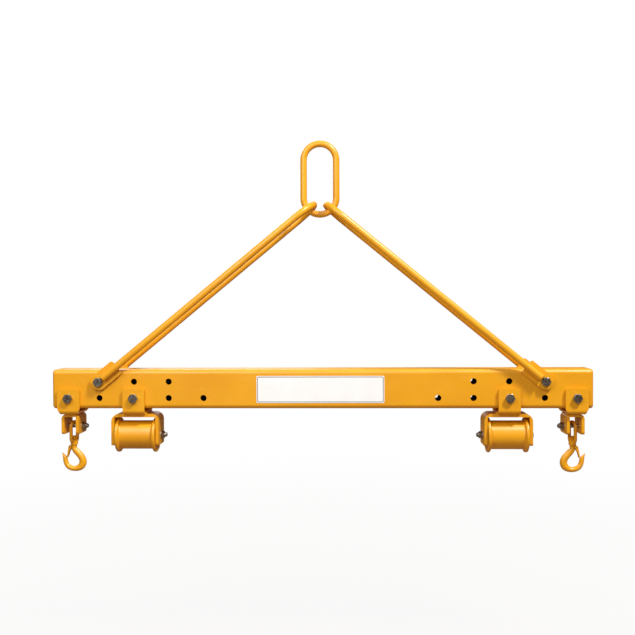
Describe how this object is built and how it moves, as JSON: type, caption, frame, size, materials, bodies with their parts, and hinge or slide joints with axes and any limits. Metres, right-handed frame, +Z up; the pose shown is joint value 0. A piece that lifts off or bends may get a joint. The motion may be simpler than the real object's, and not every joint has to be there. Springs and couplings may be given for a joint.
{
  "type": "spreader beam",
  "caption": "Hanging lifting beam: a box beam on hairpin legs from a link, with sling rollers and swivel latch hooks under its ends.",
  "frame": {"origin": "the crane hook's seat: the inner top of the master link, in the middle of the beam's length and depth", "axes": "+X along the beam to the right, +Y from the front face (bolt heads) to the back, +Z up"},
  "size_m": [1.54, 0.15, 0.9569],
  "materials": {
    "yellow_paint": "gloss powder coat, golden yellow",
    "zinc_fasteners": "zinc plated, satin",
    "bearing_steel": "ground steel",
    "spring_steel": "bright spring wire",
    "label_film": "satin printed film"
  },
  "bodies": {
    "master_link": {"master_link": "yellow_paint"},
    "beam": {"beam_tube": "yellow_paint", "end_caps": "yellow_paint", "name_label": "label_film"},
    "left_leg": {"left_leg_rod": "yellow_paint", "left_leg_lugs": "yellow_paint", "left_leg_bolt": "zinc_fasteners", "left_leg_washer": "zinc_fasteners", "left_leg_nut": "zinc_fasteners"},
    "left_roller_bracket": {"left_roller_saddle": "yellow_paint", "left_roller_strap": "yellow_paint", "left_roller_saddle_bolt": "zinc_fasteners", "left_roller_axle_bolt": "zinc_fasteners", "left_roller_washers": "zinc_fasteners", "left_roller_nuts": "zinc_fasteners", "left_bearing_inner_races": "bearing_steel", "left_roller_spacers": "zinc_fasteners"},
    "left_roller": {"left_roller_drum": "yellow_paint", "left_roller_flanges": "yellow_paint", "left_bearing_outer_races": "bearing_steel"},
    "left_hanger": {"left_hanger_saddle": "yellow_paint", "left_hanger_clevis": "yellow_paint", "left_hanger_saddle_bolt": "zinc_fasteners", "left_hanger_clevis_bolt": "zinc_fasteners", "left_hanger_washers": "zinc_fasteners", "left_hanger_nuts": "zinc_fasteners"},
    "left_hook_bow": {"left_hook_bow": "yellow_paint"},
    "left_hook": {"left_hook_body": "yellow_paint", "left_swivel_nut": "yellow_paint", "left_latch_pin": "zinc_fasteners", "left_latch_spring": "spring_steel"},
    "left_latch": {"left_latch": "yellow_paint"},
    "right_leg": {"right_leg_rod": "yellow_paint", "right_leg_lugs": "yellow_paint", "right_leg_bolt": "zinc_fasteners", "right_leg_washer": "zinc_fasteners", "right_leg_nut": "zinc_fasteners"},
    "right_roller_bracket": {"right_roller_saddle": "yellow_paint", "right_roller_strap": "yellow_paint", "right_roller_saddle_bolt": "zinc_fasteners", "right_roller_axle_bolt": "zinc_fasteners", "right_roller_washers": "zinc_fasteners", "right_roller_nuts": "zinc_fasteners", "right_bearing_inner_races": "bearing_steel", "right_roller_spacers": "zinc_fasteners"},
    "right_roller": {"right_roller_drum": "yellow_paint", "right_roller_flanges": "yellow_paint", "right_bearing_outer_races": "bearing_steel"},
    "right_hanger": {"right_hanger_saddle": "yellow_paint", "right_hanger_clevis": "yellow_paint", "right_hanger_saddle_bolt": "zinc_fasteners", "right_hanger_clevis_bolt": "zinc_fasteners", "right_hanger_washers": "zinc_fasteners", "right_hanger_nuts": "zinc_fasteners"},
    "right_hook_bow": {"right_hook_bow": "yellow_paint"},
    "right_hook": {"right_hook_body": "yellow_paint", "right_swivel_nut": "yellow_paint", "right_latch_pin": "zinc_fasteners", "right_latch_spring": "spring_steel"},
    "right_latch": {"right_latch": "yellow_paint"}
  },
  "joints": [
    {"name": "rigging_tilt", "type": "hinge", "parent": "master_link", "child": "left_leg", "pos_m": [0, 0, -0.186], "axis": [1, 0, 0], "range_deg": [-45, 45]},
    {"name": "left_leg_pivot", "type": "hinge", "parent": "left_leg", "child": "beam", "pos_m": [-0.634, 0, -0.6725], "axis": [0, -1, 0], "range_deg": [0, 0.25]},
    {"name": "right_leg_pivot", "type": "hinge", "parent": "beam", "child": "right_leg", "pos_m": [0.634, 0, -0.6725], "axis": [0, -1, 0], "range_deg": [0, 0.52]},
    {"name": "left_bracket_pivot", "type": "hinge", "parent": "beam", "child": "left_roller_bracket", "pos_m": [-0.534, 0, -0.7195], "axis": [0, 1, 0], "range_deg": [-10, 10]},
    {"name": "left_roller_spin", "type": "hinge", "parent": "left_roller_bracket", "child": "left_roller", "pos_m": [-0.534, 0, -0.8305], "axis": [1, 0, 0], "continuous": true},
    {"name": "left_hanger_pivot", "type": "hinge", "parent": "beam", "child": "left_hanger", "pos_m": [-0.722, 0, -0.7195], "axis": [0, 1, 0], "range_deg": [-10, 10]},
    {"name": "left_hook_swing", "type": "hinge", "parent": "left_hanger", "child": "left_hook_bow", "pos_m": [-0.722, 0, -0.8045], "axis": [1, 0, 0], "range_deg": [-90, 90]},
    {"name": "left_hook_swivel", "type": "hinge", "parent": "left_hook_bow", "child": "left_hook", "pos_m": [-0.722, 0, -0.85], "axis": [0, 0, 1], "continuous": true},
    {"name": "left_latch_hinge", "type": "hinge", "parent": "left_hook", "child": "left_latch", "pos_m": [-0.7327, 0, -0.866], "axis": [0, -1, 0], "range_deg": [0, 38], "stiffness_Nm_per_rad": 0.05, "springref_deg": -28.65, "deforming": ["left_latch_spring"]},
    {"name": "right_bracket_pivot", "type": "hinge", "parent": "beam", "child": "right_roller_bracket", "pos_m": [0.534, 0, -0.7195], "axis": [0, 1, 0], "range_deg": [-10, 10]},
    {"name": "right_roller_spin", "type": "hinge", "parent": "right_roller_bracket", "child": "right_roller", "pos_m": [0.534, 0, -0.8305], "axis": [1, 0, 0], "continuous": true},
    {"name": "right_hanger_pivot", "type": "hinge", "parent": "beam", "child": "right_hanger", "pos_m": [0.722, 0, -0.7195], "axis": [0, 1, 0], "range_deg": [-10, 10]},
    {"name": "right_hook_swing", "type": "hinge", "parent": "right_hanger", "child": "right_hook_bow", "pos_m": [0.722, 0, -0.8045], "axis": [1, 0, 0], "range_deg": [-90, 90]},
    {"name": "right_hook_swivel", "type": "hinge", "parent": "right_hook_bow", "child": "right_hook", "pos_m": [0.722, 0, -0.85], "axis": [0, 0, 1], "continuous": true},
    {"name": "right_latch_hinge", "type": "hinge", "parent": "right_hook", "child": "right_latch", "pos_m": [0.7327, 0, -0.866], "axis": [0, 1, 0], "range_deg": [0, 38], "stiffness_Nm_per_rad": 0.05, "springref_deg": -28.65, "deforming": ["right_latch_spring"]}
  ],
  "couplings": [
    {"joint": "right_leg_pivot", "follows": "left_leg_pivot", "ratio": 2.05}
  ]
}
